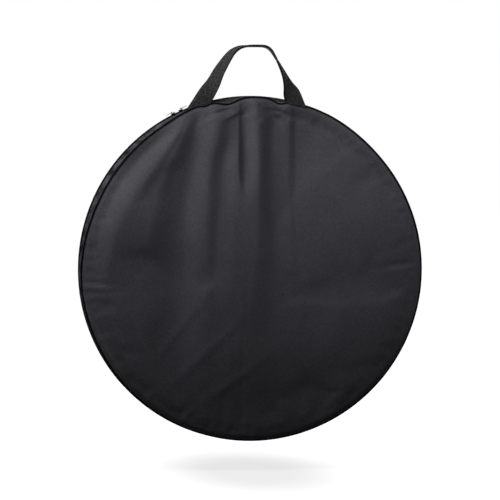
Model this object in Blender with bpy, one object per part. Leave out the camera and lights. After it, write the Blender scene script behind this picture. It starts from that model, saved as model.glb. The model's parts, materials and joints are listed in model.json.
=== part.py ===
"""Round padded bag for one bicycle wheel, hanging closed from its two webbing handles.

Metres, +Z up. The front panel faces -Y and X runs to the right. The origin is the middle
of the flat underside of the lower grip, from which the bag is carried or hung.
Shapes are worked out about the disc's own centre, and one empty places that centre.
"""

import bmesh
import bpy
import numpy as np
from math import cos, pi, radians, sin, sqrt

# Outline, wall and dome
outline_radius = 0.350
centre_depth = 0.034
low_seam_depth = 0.012
high_seam_depth = 0.036
pinched_seam_depth = 0.015
low_seam_inset = 0.004
high_seam_inset = 0.010
station_count = 48
zip_end_stations = 2
lift_start = radians(-10)
lift_share = 0.65
pinch_angle = radians(91.5)
pinch_plateau = radians(24)
pinch_fade = radians(28)
panel_ring_shares = (0.30, 0.55, 0.77, 0.92, 0.975, 1.0)

# Cloth, padding and edging
shell_thickness = 0.0012
foam_thickness = 0.005
lining_thickness = 0.0008
fit_gap = 0.0003
piping_radius = 0.0015
piping_sides = 6
piping_stand_out = 0.0005
wall_thickness = 0.0010
guard_radius = 0.040
guard_thickness = 0.0015
guard_gap = 0.0008
guard_stations = 24
guard_ring_shares = (0.5, 1.0)

# Zip
coil_radius = 0.0014
coil_sides = 6
tape_thickness = 0.0008
tape_mid_gap = 0.0004
strip_to_mid = 0.0055
tape_cover_share = 0.45
end_tab_length = radians(5.2)
end_tab_gap = radians(0.3)
end_tab_half_width = 0.009
end_tab_thickness = 0.0014
wall_end_gap = radians(0.06)

# Fold that the front flap opens on
fold_height = -0.097
fold_gap = 0.0004
fold_stand_off = 0.0005

# Handles
webbing_width = 0.032
webbing_thickness = 0.0022
handle_base_depth = 0.014
handle_middle = -0.00325
handle_half_span = 0.0905
handle_fold_lift = 0.0024
handle_rise = 0.103
handle_stack_gap = 0.0008
handle_fold_gap = 0.0003
handle_axis_gap = 0.0003
# Each row: place across in half spans, place up in rises, twist in quarter turns
handle_path_shares = (
    (-1.00, 0.00, 0.00),
    (-0.90, 0.135, 0.22),
    (-0.79, 0.27, 0.39),
    (-0.665, 0.50, 0.56),
    (-0.49, 0.74, 0.72),
    (-0.365, 0.89, 0.82),
    (-0.20, 0.98, 0.93),
    (-0.01, 1.00, 1.00),
    (0.39, 1.00, 1.00),
    (0.505, 0.92, 0.97),
    (0.565, 0.82, 0.94),
    (0.64, 0.71, 0.90),
    (0.73, 0.56, 0.84),
    (0.82, 0.39, 0.74),
    (0.895, 0.22, 0.56),
    (0.95, 0.11, 0.22),
    (1.00, 0.00, 0.00),
)
grip_rows = (7, 8)
rows_per_span = 3
stub_arc_points = 3

# Sliders and pulls
slider_angles = {"left": radians(116.6), "right": radians(113.8)}
slider_half_length = 0.0055
slider_half_width = 0.0045
slider_plate_thickness = 0.0015
slider_gap = 0.0006
# Each row: place along in half lengths, place across in half widths
slider_outline_shares = (
    (-1.0, -0.6), (-0.55, -1.0), (0.55, -1.0), (1.0, -0.6),
    (1.0, 0.6), (0.55, 1.0), (-0.55, 1.0), (-1.0, 0.6),
)
flange_thickness = 0.0012
flange_half_length = 0.0038
flange_tape_gap = 0.0004
bridge_offset = 0.0012
bridge_half_length = 0.0024
bridge_half_width = 0.0014
bridge_height = 0.0030
bridge_hole_half_length = 0.0011
bridge_hole_floor = 0.0003
bridge_hole_height = 0.0019
joint_overlap = 0.0005
pull_length = 0.0135
pull_half_width = 0.0038
pull_wire = 0.0012

# Worked out from the sizes above
station_step = 2 * pi / station_count
zip_start = -zip_end_stations * station_step
zip_end = pi - zip_start
low_seam_radius = outline_radius - low_seam_inset
high_seam_radius = outline_radius - high_seam_inset
coil_centre_radius = outline_radius - coil_radius
tape_outer_radius = coil_centre_radius - coil_radius - fit_gap
strip_inner_radius = tape_outer_radius + fit_gap
wall_lift = strip_inner_radius - low_seam_radius
foam_inset = shell_thickness + fit_gap
lining_inset = foam_inset + foam_thickness + fit_gap
guard_inset = lining_inset + lining_thickness + guard_gap
piping_back = 2 * piping_radius - piping_stand_out + fit_gap
fold_axis_depth = centre_depth + fold_stand_off
handle_seat_radius = high_seam_radius + fit_gap + 2 * piping_radius + fit_gap
handle_fold_height = handle_seat_radius + handle_fold_lift
grip_x = handle_middle + handle_half_span * sum(
    handle_path_shares[row][0] for row in grip_rows
) / len(grip_rows)
grip_height = handle_fold_height + handle_rise - webbing_thickness / 2
handle_axis_depth = handle_base_depth + webbing_thickness / 2 + handle_axis_gap
# The rear grip's front edge climbs this much as it swings back, under the front grip
grip_edge_reach = handle_axis_depth + webbing_width / 2
grip_top_rise = handle_rise + webbing_thickness / 2
swing_climb = sqrt(grip_edge_reach ** 2 + grip_top_rise ** 2) - grip_top_rise
handle_stack = webbing_thickness + swing_climb + handle_stack_gap
slider_floor = outline_radius + slider_gap
slider_top = slider_floor + slider_plate_thickness
pull_axis_radius = slider_top + bridge_hole_floor + bridge_hole_height / 2


def smooth(t):
    """Rise from 0 to 1 with level ends."""
    t = np.clip(t, 0, 1)
    return t * t * (3 - 2 * t)


def seam_lift(theta):
    """0 along the plain lower wall and 1 where the zipped wall is at its widest."""
    return smooth((np.sin(theta) - sin(lift_start)) / lift_share)


def seam_depth(theta):
    """Half the bag's thickness at the piping: slim below, full above, pinched at the handles."""
    pinch = 1 - smooth((abs(theta - pinch_angle) - pinch_plateau) / pinch_fade)
    full = low_seam_depth + (high_seam_depth - low_seam_depth) * seam_lift(theta)
    return full - (high_seam_depth - pinched_seam_depth) * pinch


def seam_radius(theta):
    return low_seam_radius + (high_seam_radius - low_seam_radius) * seam_lift(theta)


def panel_depth(radius, theta):
    """The dome: centre depth in the middle, easing to the seam's depth at the rim."""
    share = (radius / seam_radius(theta)) ** 2
    return centre_depth * (1 - share) + seam_depth(theta) * share


def clear_scene():
    for item in list(bpy.data.objects):
        bpy.data.objects.remove(item, do_unlink=True)


def make_material(name, colour, roughness, metallic=0.0):
    material = bpy.data.materials.new(name)
    material.use_nodes = True
    surface = material.node_tree.nodes["Principled BSDF"]
    surface.inputs["Base Color"].default_value = (*colour, 1.0)
    surface.inputs["Roughness"].default_value = roughness
    surface.inputs["Metallic"].default_value = metallic
    return material


def make_empty(name, place, parent=None, turn=0.0):
    """A joint's axis point, measured from its parent; turn is about Y."""
    empty = bpy.data.objects.new(name, None)
    bpy.context.collection.objects.link(empty)
    empty.parent = parent
    empty.location = place
    empty.rotation_euler = (0.0, turn, 0.0)
    return empty


def add_part(name, bm, material, parent, smooth_angle=None):
    """Turn a bmesh into an object: about the disc's centre, or in its own empty's axes."""
    bmesh.ops.triangulate(bm, faces=bm.faces)
    bmesh.ops.recalc_face_normals(bm, faces=bm.faces)
    mesh = bpy.data.meshes.new(name)
    bm.to_mesh(mesh)
    bm.free()
    mesh.materials.append(material)
    if smooth_angle:
        mesh.shade_smooth()
        mesh.set_sharp_from_angle(angle=smooth_angle)
    item = bpy.data.objects.new(name, mesh)
    bpy.context.collection.objects.link(item)
    item.parent = parent
    if parent is not disc and parent.parent is disc:
        item.location = -parent.location
    return item


def ring_angles(first, last):
    """Station angles from one station number to another, both included."""
    return np.arange(first, last + 1) * station_step


def disc_surface(radii, thetas, inset, side):
    """A domed sheet of triangles: a centre point and rings of radii over the stations."""
    bm = bmesh.new()
    centre = bm.verts.new((0.0, side * (centre_depth - inset), 0.0))
    depth = side * (panel_depth(radii, thetas) - inset)
    points = np.stack((radii * np.cos(thetas), depth, radii * np.sin(thetas)), axis=-1)
    rings = [[bm.verts.new(point) for point in ring] for ring in points]
    count = len(thetas)
    for k in range(count):
        after = (k + 1) % count
        bm.faces.new((centre, rings[0][k], rings[0][after]))
        for inner, outer in zip(rings, rings[1:]):
            bm.faces.new((inner[k], outer[k], outer[after]))
            bm.faces.new((inner[k], outer[after], inner[after]))
    return bm


def cut_level(bm, height, keep_above, fill):
    """Keep what lies above or below a height, closing the cut where it went through a tube."""
    geometry = bm.verts[:] + bm.edges[:] + bm.faces[:]
    bmesh.ops.bisect_plane(
        bm,
        geom=geometry,
        plane_co=(0, 0, height),
        plane_no=(0, 0, 1),
        clear_inner=keep_above,
        clear_outer=not keep_above,
    )
    if fill:
        bmesh.ops.holes_fill(bm, edges=[edge for edge in bm.edges if edge.is_boundary])


def cut_for_fold(bm, zone, fill=False):
    """zone is whole, upper (the flap) or lower (below the fold)."""
    if zone == "upper":
        cut_level(bm, fold_height + fold_gap / 2, True, fill)
    if zone == "lower":
        cut_level(bm, fold_height - fold_gap / 2, False, fill)


def thicken(bm, amount):
    """Give an open sheet its thickness along Y."""
    result = bmesh.ops.extrude_face_region(bm, geom=bm.faces[:], use_keep_orig=True)
    moved = [item for item in result["geom"] if isinstance(item, bmesh.types.BMVert)]
    bmesh.ops.translate(bm, verts=moved, vec=(0, amount, 0))


def panel_layer(name, material, parent, side, zone, inset, thickness, ring_shares):
    """One cloth or foam layer of a round panel, whole or cut at the fold."""
    thetas = panel_angles
    radii = np.outer(ring_shares, seam_radius(thetas))
    bm = disc_surface(radii, thetas, inset, side)
    cut_for_fold(bm, zone)
    thicken(bm, -side * thickness)
    add_part(name, bm, material, parent, radians(30))


def hub_guard(name, material, parent, side):
    """Stiff round patch inside a panel, where the wheel's axle end presses."""
    thetas = panel_angles[:: station_count // guard_stations]
    radii = np.outer(guard_ring_shares, np.full(len(thetas), guard_radius))
    bm = disc_surface(radii, thetas, guard_inset, side)
    thicken(bm, -side * guard_thickness)
    add_part(name, bm, material, parent, radians(30))


def sweep(sections, closed, matched=False):
    """Skin a row of same-sized closed sections with triangles split one way throughout.

    matched splits the second half of each section the other way, so that the two faces of a
    twisted ribbon keep their distance.
    """
    bm = bmesh.new()
    rows = [[bm.verts.new(point) for point in section] for section in sections]
    spans = list(zip(rows, rows[1:]))
    if closed:
        spans.append((rows[-1], rows[0]))
    count = len(rows[0])
    for first, second in spans:
        for j in range(count):
            after = (j + 1) % count
            if matched and j >= count / 2:
                bm.faces.new((first[j], second[j], first[after]))
                bm.faces.new((second[j], second[after], first[after]))
            else:
                bm.faces.new((first[j], second[j], second[after]))
                bm.faces.new((first[j], second[after], first[after]))
    if not closed:
        bm.faces.new(rows[0])
        bm.faces.new(rows[-1])
    return bm


def around(thetas, radii, depths):
    """Points about the disc's centre: one section of radii and depths for each angle."""
    return np.stack((
        radii * np.cos(thetas)[:, None],
        depths,
        radii * np.sin(thetas)[:, None],
    ), axis=-1)


def piping(name, material, parent, side, zone):
    """Round cord sewn along the seam where a panel meets the wall."""
    thetas = panel_angles
    turns = np.arange(piping_sides) * 2 * pi / piping_sides
    centre = seam_radius(thetas) + fit_gap + piping_radius
    radii = centre[:, None] + piping_radius * np.cos(turns)
    middle = seam_depth(thetas) + piping_stand_out - piping_radius
    depths = side * (middle[:, None] + piping_radius * np.sin(turns))
    bm = sweep(around(thetas, radii, depths), closed=True)
    cut_for_fold(bm, zone, fill=True)
    add_part(name, bm, material, parent, radians(70))


def wall_line(theta):
    """The wall's inner face at an angle, as radius and depth from the piping to the zip."""
    seam = np.array((seam_radius(theta) + wall_lift, seam_depth(theta) - piping_back))
    edge = np.array((strip_inner_radius, strip_to_mid))
    return seam, edge + tape_cover_share * (seam - edge), edge


def mitred_normals(points, square_axis):
    """Unit offsets to a line's left, mitred at its corners and square to an axis at its ends."""
    runs = np.diff(points, axis=0)
    normals = np.stack((-runs[:, 1], runs[:, 0]), axis=-1)
    normals /= np.linalg.norm(normals, axis=1)[:, None]
    joined = np.vstack((normals[:1], normals[:-1] + normals[1:], normals[-1:]))
    joined /= np.sum(joined * np.vstack((normals[:1], normals)), axis=1)[:, None]
    for end in (0, -1):
        joined[end] = 0.0
        joined[end, square_axis] = 1 / normals[end, square_axis]
    return joined


def offset_line(points, amount):
    """Move a line of (radius, depth) points outwards, with ends cut at a constant depth."""
    points = np.array(points)
    return points + amount * mitred_normals(points, 0)


def ribbon_section(line, near, far):
    """Closed section of a strip between two offsets of a line, the near one on its neighbour."""
    return np.vstack((offset_line(line, near), offset_line(line, far)[::-1]))


def wall_ribbon(name, material, parent, side, make_section):
    """Sweep a section along the zipped wall, from one zip end to the other."""
    thetas = ring_angles(-zip_end_stations, station_count // 2 + zip_end_stations)
    sections = np.array([make_section(theta) for theta in thetas])
    points = around(thetas, sections[:, :, 0], side * sections[:, :, 1])
    bm = sweep(points, closed=False)
    add_part(name, bm, material, parent, radians(40))


def strip_section(theta):
    return ribbon_section(wall_line(theta), 0.0, wall_thickness)


def tape_section(theta):
    _, middle, edge = wall_line(theta)
    line = (middle, edge, np.array((strip_inner_radius, tape_mid_gap)))
    return ribbon_section(line, -fit_gap, -fit_gap - tape_thickness)


def coil_section(theta):
    turns = (np.arange(coil_sides) + 1 / 2) * 2 * pi / coil_sides
    middle = coil_radius + fit_gap / 2
    return np.stack((
        coil_centre_radius + coil_radius * np.cos(turns),
        middle + coil_radius * np.sin(turns),
    ), axis=-1)


def flat_ring_section(inner, thickness, half_width):
    return np.array((
        (inner, -half_width),
        (inner + thickness, -half_width),
        (inner + thickness, half_width),
        (inner, half_width),
    ))


def lower_wall(name, material, parent):
    """Plain narrow wall strip round the lower half, between the two zip ends."""
    first = zip_end + wall_end_gap
    last = 2 * pi + zip_start - wall_end_gap
    first_station = station_count // 2 + zip_end_stations + 1
    last_station = station_count - zip_end_stations - 1
    thetas = np.concatenate(((first,), ring_angles(first_station, last_station), (last,)))
    section = flat_ring_section(strip_inner_radius, wall_thickness, low_seam_depth - piping_back)
    radii = np.tile(section[:, 0], (len(thetas), 1))
    depths = np.tile(section[:, 1], (len(thetas), 1))
    bm = sweep(around(thetas, radii, depths), closed=False)
    add_part(name, bm, material, parent, radians(40))


def zip_end_tab(name, material, parent, side):
    """Folded tab sewn over the zip's end; side -1 is the left end."""
    near = zip_start - end_tab_gap
    thetas = np.array((near, near - end_tab_length / 2, near - end_tab_length))
    if side < 0:
        thetas = pi - thetas
    inner = strip_inner_radius + wall_thickness + fit_gap
    section = flat_ring_section(inner, end_tab_thickness, end_tab_half_width)
    radii = np.tile(section[:, 0], (len(thetas), 1))
    depths = np.tile(section[:, 1], (len(thetas), 1))
    bm = sweep(around(thetas, radii, depths), closed=False)
    add_part(name, bm, material, parent)


def handle_rows():
    """The handle's path: across, up, and twist in radians."""
    rows = np.array(handle_path_shares)
    across = handle_middle + handle_half_span * rows[:, 0]
    up = handle_fold_height + handle_rise * rows[:, 1]
    return np.stack((across, up), axis=-1), rows[:, 2] * pi / 2


def handle_frames():
    """The path, its twist, and mitred outward normals that run level at the two folds."""
    path, twist = handle_rows()
    return path, twist, mitred_normals(path, 0)


def fill_in(sections):
    """Even steps between the handle's sections, so that it twists gently; the grip stays flat."""
    places = np.arange((len(sections) - 1) * rows_per_span + 1) / rows_per_span
    places = places[(places <= grip_rows[0]) | (places >= grip_rows[1])]
    before = np.minimum(places.astype(int), len(sections) - 2)
    share = (places - before)[:, None, None]
    return sections[before] * (1 - share) + sections[before + 1] * share


def handle_loop(name, material, parent, side):
    """Webbing loop above its folds: flat on the panel at both ends, turned on edge at the grip.

    The front loop's outer face turns up over the grip, and lies on the rear loop there.
    """
    path, twist, outward = handle_frames()
    turned = np.sin(twist)
    level = np.cos(twist)
    stack = handle_stack if side < 0 else 0.0
    zero = np.zeros(len(path))
    out = np.stack((outward[:, 0], zero, outward[:, 1]), axis=-1)
    back = np.tile((0.0, 1.0, 0.0), (len(path), 1))
    centre = np.stack((path[:, 0], side * handle_base_depth * level, path[:, 1]), axis=-1)
    centre = centre + out * (stack * turned)[:, None]
    across = out * level[:, None] + back * turned[:, None]
    through = out * turned[:, None] - back * level[:, None]
    half_width = across * webbing_width / 2
    half_thickness = through * webbing_thickness / 2
    # At the folds the width runs level, so the thickness there stays along Y
    sections = np.stack((
        centre + half_width + half_thickness,
        centre - half_width + half_thickness,
        centre - half_width - half_thickness,
        centre + half_width - half_thickness,
    ), axis=1)
    sections[[0, -1], :, 2] += handle_fold_gap / 2
    bm = sweep(fill_in(sections), closed=False, matched=True)
    add_part(name, bm, material, parent, radians(40))


def reach_circle(point, direction, radius):
    """Where a line in from an outer point first meets a circle about the disc's centre."""
    along = point @ direction
    short = sqrt(along * along - (point @ point - radius * radius))
    return point + direction * (-along - short)


def handle_end(name, material, parent, side, end):
    """Sewn end of a handle, from the piping up to the handle's fold."""
    path, _, outward = handle_frames()
    tip = 0 if end == "left" else -1
    inner = 1 if end == "left" else -2
    down = path[tip] - path[inner]
    down /= np.linalg.norm(down)
    half = outward[tip] * webbing_width / 2
    top = path[tip] - np.array((0.0, handle_fold_gap / 2))
    outer_top, inner_top = top + half, top - half
    outer_foot = reach_circle(outer_top, down, handle_seat_radius)
    inner_foot = reach_circle(inner_top, down, handle_seat_radius)
    angles = np.unwrap((np.arctan2(*outer_foot[::-1]), np.arctan2(*inner_foot[::-1])))
    arc = [
        handle_seat_radius * np.array((cos(angle), sin(angle)))
        for angle in np.linspace(*angles, stub_arc_points + 2)[1:-1]
    ]
    outline = [inner_top, outer_top, outer_foot, *arc, inner_foot]
    near = side * (handle_base_depth - webbing_thickness / 2)
    far = side * (handle_base_depth + webbing_thickness / 2)
    sections = np.array([[(x, depth, z) for x, z in outline] for depth in (near, far)])
    bm = sweep(sections, closed=False)
    add_part(name, bm, material, parent)


def box_mesh(low, high):
    bm = bmesh.new()
    result = bmesh.ops.create_cube(bm, size=1.0)
    low, high = np.array(low), np.array(high)
    for vert in result["verts"]:
        vert.co = (low + high) / 2 + np.array(vert.co) * (high - low)
    return bm


def combine(body, name, bm, operation, parent):
    """Join or cut a body with a hidden helper shape."""
    helper = add_part(name, bm, cutter_finish, parent)
    helper.hide_render = True
    helper.display_type = "WIRE"
    modifier = body.modifiers.new(name, "BOOLEAN")
    modifier.operation = operation
    modifier.solver = "EXACT"
    modifier.object = helper


def slider(name, material, parent, way):
    """Zip slider at the top of the disc; way is where its pull points, -1 left and 1 right."""
    sections = np.array([
        [(x * slider_half_length, y * slider_half_width, height) for x, y in slider_outline_shares]
        for height in (slider_floor, slider_top)
    ])
    body = add_part(name, sweep(sections, closed=False), material, parent)
    flange = box_mesh(
        (-flange_half_length, slider_half_width - flange_thickness, tape_outer_radius + flange_tape_gap),
        (flange_half_length, slider_half_width, slider_floor + joint_overlap),
    )
    combine(body, f"{name}_flange_shape", flange, "UNION", parent)
    middle = way * bridge_offset
    bridge = box_mesh(
        (middle - bridge_half_length, -bridge_half_width, slider_top - joint_overlap),
        (middle + bridge_half_length, bridge_half_width, slider_top + bridge_height),
    )
    combine(body, f"{name}_bridge_shape", bridge, "UNION", parent)
    hole_floor = slider_top + bridge_hole_floor
    hole = box_mesh(
        (middle - bridge_hole_half_length, -slider_half_width, hole_floor),
        (middle + bridge_hole_half_length, slider_half_width, hole_floor + bridge_hole_height),
    )
    combine(body, f"{name}_hole_shape", hole, "DIFFERENCE", parent)


def pull(name, material, parent, way):
    """Wire loop through the slider's bridge, lying along the zip; its axis is its near bar."""
    half = pull_wire / 2
    ends = sorted((-way * half, way * (pull_length - half)))
    bm = box_mesh((ends[0], -pull_half_width, -half), (ends[1], pull_half_width, half))
    body = add_part(name, bm, material, parent)
    window = sorted((way * half, way * (pull_length - half - pull_wire)))
    cutter = box_mesh(
        (window[0], pull_wire - pull_half_width, -pull_wire),
        (window[1], pull_half_width - pull_wire, pull_wire),
    )
    combine(body, f"{name}_window_shape", cutter, "DIFFERENCE", parent)


clear_scene()
panel_angles = ring_angles(-station_count // 4, station_count - station_count // 4 - 1)

shell_finish = make_material("charcoal_cloth", (0.030, 0.029, 0.033), 0.85)
foam_finish = make_material("grey_foam", (0.20, 0.20, 0.21), 0.95)
lining_finish = make_material("black_lining", (0.012, 0.012, 0.013), 0.80)
guard_finish = make_material("black_guard", (0.015, 0.015, 0.016), 0.50)
piping_finish = make_material("black_piping", (0.006, 0.006, 0.006), 0.60)
tape_finish = make_material("zip_tape", (0.022, 0.022, 0.023), 0.85)
coil_finish = make_material("zip_coil", (0.004, 0.004, 0.004), 0.40)
webbing_finish = make_material("grey_webbing", (0.032, 0.032, 0.032), 0.80)
metal_finish = make_material("dark_metal", (0.10, 0.10, 0.10), 0.35, 1.0)
cutter_finish = make_material("helper_shape", (0.5, 0.5, 0.5), 1.0)

disc = make_empty("disc_centre", (-grip_x, 0.0, -grip_height))
flap = make_empty("front_flap_axis", (0.0, -fold_axis_depth, fold_height), disc)
front_handle = make_empty("front_handle_axis", (0.0, -handle_axis_depth, handle_fold_height), disc)
rear_handle = make_empty("rear_handle_axis", (0.0, handle_axis_depth, handle_fold_height), disc)

# Panels: every layer of the rear, and of the front above and below its fold
panel_places = (
    ("rear", disc, 1, "whole"),
    ("front_flap", flap, -1, "upper"),
    ("front_base", disc, -1, "lower"),
)
for prefix, parent, side, zone in panel_places:
    panel_layer(
        f"{prefix}_shell", shell_finish, parent, side, zone, 0.0, shell_thickness, panel_ring_shares
    )
    inner_shares = panel_ring_shares[:-1]
    panel_layer(
        f"{prefix}_foam", foam_finish, parent, side, zone, foam_inset, foam_thickness, inner_shares
    )
    panel_layer(
        f"{prefix}_lining", lining_finish, parent, side, zone, lining_inset, lining_thickness, inner_shares
    )
    piping(f"{prefix}_piping", piping_finish, parent, side, zone)

# Zipped wall and hub guards, front and rear
for prefix, parent, side in (("rear", disc, 1), ("front", flap, -1)):
    hub_guard(f"{prefix}_hub_guard", guard_finish, parent, side)
    wall_ribbon(f"{prefix}_wall_strip", shell_finish, parent, side, strip_section)
    wall_ribbon(f"{prefix}_zip_tape", tape_finish, parent, side, tape_section)
    wall_ribbon(f"{prefix}_zip_coil", coil_finish, parent, side, coil_section)

lower_wall("lower_wall_strip", shell_finish, disc)
zip_end_tab("zip_end_tab_left", shell_finish, disc, -1)
zip_end_tab("zip_end_tab_right", shell_finish, disc, 1)

# Handles: the sewn ends stay on their panel, the loop swings on its fold
for prefix, base, swing, side in (("front", flap, front_handle, -1), ("rear", disc, rear_handle, 1)):
    handle_loop(f"{prefix}_handle", webbing_finish, swing, side)
    for end in ("left", "right"):
        handle_end(f"{prefix}_handle_end_{end}", webbing_finish, base, side, end)

# Sliders turn about the disc's centre, and each pull about the bar in its slider's bridge
for end, way in (("left", -1), ("right", 1)):
    track = make_empty(f"{end}_slider_axis", (0.0, 0.0, 0.0), disc, pi / 2 - slider_angles[end])
    slider(f"{end}_slider", metal_finish, track, way)
    hinge = make_empty(f"{end}_pull_axis", (way * bridge_offset, 0.0, pull_axis_radius), track)
    pull(f"{end}_pull", metal_finish, hinge, way)
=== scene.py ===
"""Looks of a round padded bag for one bicycle wheel, hanging closed from its two handles.

Metres, +Z up, with the front panel facing -Y. Shapes are worked out about the disc's centre,
with depth counted outwards from the bag's mid plane, and are moved to that centre last.
"""

import json
from math import cos, pi, radians, sin

import bpy
import numpy as np
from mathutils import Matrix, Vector


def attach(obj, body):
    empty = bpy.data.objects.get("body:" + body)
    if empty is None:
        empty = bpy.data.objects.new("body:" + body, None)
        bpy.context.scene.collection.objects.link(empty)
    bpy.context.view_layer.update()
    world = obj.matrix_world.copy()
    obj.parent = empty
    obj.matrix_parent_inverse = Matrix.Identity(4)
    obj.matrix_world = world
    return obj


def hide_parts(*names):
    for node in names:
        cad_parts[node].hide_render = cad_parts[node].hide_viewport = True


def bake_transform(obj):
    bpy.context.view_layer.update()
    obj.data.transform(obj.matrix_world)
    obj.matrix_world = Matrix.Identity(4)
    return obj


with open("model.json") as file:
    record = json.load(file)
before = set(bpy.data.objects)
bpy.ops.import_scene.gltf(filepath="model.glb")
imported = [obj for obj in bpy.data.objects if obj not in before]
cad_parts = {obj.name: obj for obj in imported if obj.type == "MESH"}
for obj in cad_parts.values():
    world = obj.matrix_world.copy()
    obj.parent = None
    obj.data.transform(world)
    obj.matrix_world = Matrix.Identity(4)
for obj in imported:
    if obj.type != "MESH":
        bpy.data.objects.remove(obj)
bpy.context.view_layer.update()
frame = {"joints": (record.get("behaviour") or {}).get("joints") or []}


# Camera, floor and light. The bag hangs just above a pale floor, seen level through a long
# lens; a shadow is painted into the floor's glow below it. A broad soft light stands high on the
# left, a small one lights the right edge, one behind shows the rear, and the pale room fills in a
# little
joint_places = {joint["name"]: np.array(joint["pos_m"]) for joint in frame["joints"]}
disc_centre = joint_places["left_slider_run"]
view_azimuth, view_elevation = radians(-8), radians(2)
view_distance = 6.0
view_width = 1.0115
view_aim = disc_centre + np.array((-0.0006, 0.0, 0.038))
sensor_width = 36.0

camera_data = bpy.data.cameras.new("view")
camera_data.sensor_width = sensor_width
camera_data.lens = sensor_width * view_distance / view_width
camera = bpy.data.objects.new("view", camera_data)
bpy.context.collection.objects.link(camera)
view_direction = Vector((
    sin(view_azimuth) * cos(view_elevation),
    -cos(view_azimuth) * cos(view_elevation),
    sin(view_elevation),
))
camera.location = Vector(view_aim) + view_direction * view_distance
camera.rotation_euler = (-view_direction).to_track_quat("-Z", "Y").to_euler()
bpy.context.scene.camera = camera
bpy.context.scene.view_settings.view_transform = "Standard"

# Each light is a square soft box: its place and the point that it faces, both from the
# disc's centre, then its size, spread and power
lights = {
    "key_light": ((-0.62, -0.38, 0.80), (0.0, 0.0, 0.12), 0.70, radians(140), 11.4),
    "back_light": ((0.2, 2.1, 0.4), (0.0, 0.0, 0.0), 1.20, radians(180), 26.0),
    "side_light": ((0.80, -0.50, 0.40), (0.32, 0.0, 0.22), 0.60, radians(50), 0.80),
}
for light_name, (offset, aim, size, spread, power) in lights.items():
    light_data = bpy.data.lights.new(light_name, "AREA")
    light_data.size, light_data.spread, light_data.energy = size, spread, power
    light = bpy.data.objects.new(light_name, light_data)
    bpy.context.collection.objects.link(light)
    light.location = Vector(disc_centre) + Vector(offset)
    light.rotation_euler = (Vector(aim) - Vector(offset)).to_track_quat("-Z", "Y").to_euler()


def node_value(tree, operation, *values):
    """A math node: each value is a number or another node's output."""
    node = tree.nodes.new("ShaderNodeMath")
    node.operation = operation
    for socket, value in zip(node.inputs, values):
        if isinstance(value, (int, float)):
            socket.default_value = value
        else:
            tree.links.new(value, socket)
    return node.outputs[0]


def shown_ray(tree):
    """1 for the camera and for mirrored or refracted rays, 0 for the rays that light things."""
    path = tree.nodes.new("ShaderNodeLightPath").outputs
    seen = node_value(tree, "MAXIMUM", path["Is Camera Ray"], path["Is Glossy Ray"])
    return node_value(tree, "MAXIMUM", seen, path["Is Transmission Ray"])


fill_strength = 0.03
world = bpy.data.worlds.new("pale_room")
world.use_nodes = True
bpy.context.scene.world = world
room = world.node_tree
fill, backdrop = room.nodes["Background"], room.nodes.new("ShaderNodeBackground")
for background, strength in ((fill, fill_strength), (backdrop, 1.0)):
    background.inputs["Color"].default_value = (1.0, 1.0, 1.0, 1.0)
    background.inputs["Strength"].default_value = strength
choose = room.nodes.new("ShaderNodeMixShader")
room.links.new(shown_ray(room), choose.inputs["Fac"])
room.links.new(fill.outputs[0], choose.inputs[1])
room.links.new(backdrop.outputs[0], choose.inputs[2])
room.links.new(choose.outputs[0], room.nodes["World Output"].inputs["Surface"])

floor_drop = 0.410
floor_reach = 40.0
# Painted shadow: the floor's glow is dimmed close under the bag's foot and rises to white further
# out, in an ellipse stretched in depth, so a soft shadow is painted on the floor below the bag
painted_shadow_glow, far_glow = 0.76, 1.04
painted_shadow_core, painted_shadow_edge = 0.06, 0.26
painted_shadow_stretch = 2.2
# The floor's tone for the light that it throws back on the bag, and for the camera, which
# sees it with a glow on top
thrown_tone, seen_tone = 0.04, 0.10
floor_mesh = bpy.data.meshes.new("floor")
floor_corners = np.array(((-1, -1), (1, -1), (1, 1), (-1, 1))) * floor_reach / 2
floor_height = disc_centre[2] - floor_drop
floor_mesh.from_pydata([(x, y, floor_height) for x, y in floor_corners], [], [(0, 1, 2, 3)])
floor = bpy.data.objects.new("floor", floor_mesh)
bpy.context.collection.objects.link(floor)
floor_finish = bpy.data.materials.new("pale_floor_painted_shadow")
floor_finish.use_nodes = True
floor_tree = floor_finish.node_tree
floor_tree.nodes.remove(floor_tree.nodes["Principled BSDF"])
grey = floor_tree.nodes.new("ShaderNodeBsdfDiffuse")
grey.inputs["Color"].default_value = (thrown_tone, thrown_tone, thrown_tone, 1.0)
white = floor_tree.nodes.new("ShaderNodeBsdfDiffuse")
white.inputs["Color"].default_value = (seen_tone, seen_tone, seen_tone, 1.0)
glow = floor_tree.nodes.new("ShaderNodeEmission")
floor_place = floor_tree.nodes.new("ShaderNodeTexCoord")
from_foot = floor_tree.nodes.new("ShaderNodeMapping")
from_foot.vector_type = "TEXTURE"
from_foot.inputs["Location"].default_value = (disc_centre[0], 0.0, floor_height)
from_foot.inputs["Scale"].default_value = (1.0, painted_shadow_stretch, 1.0)
away = floor_tree.nodes.new("ShaderNodeVectorMath")
away.operation = "LENGTH"
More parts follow.
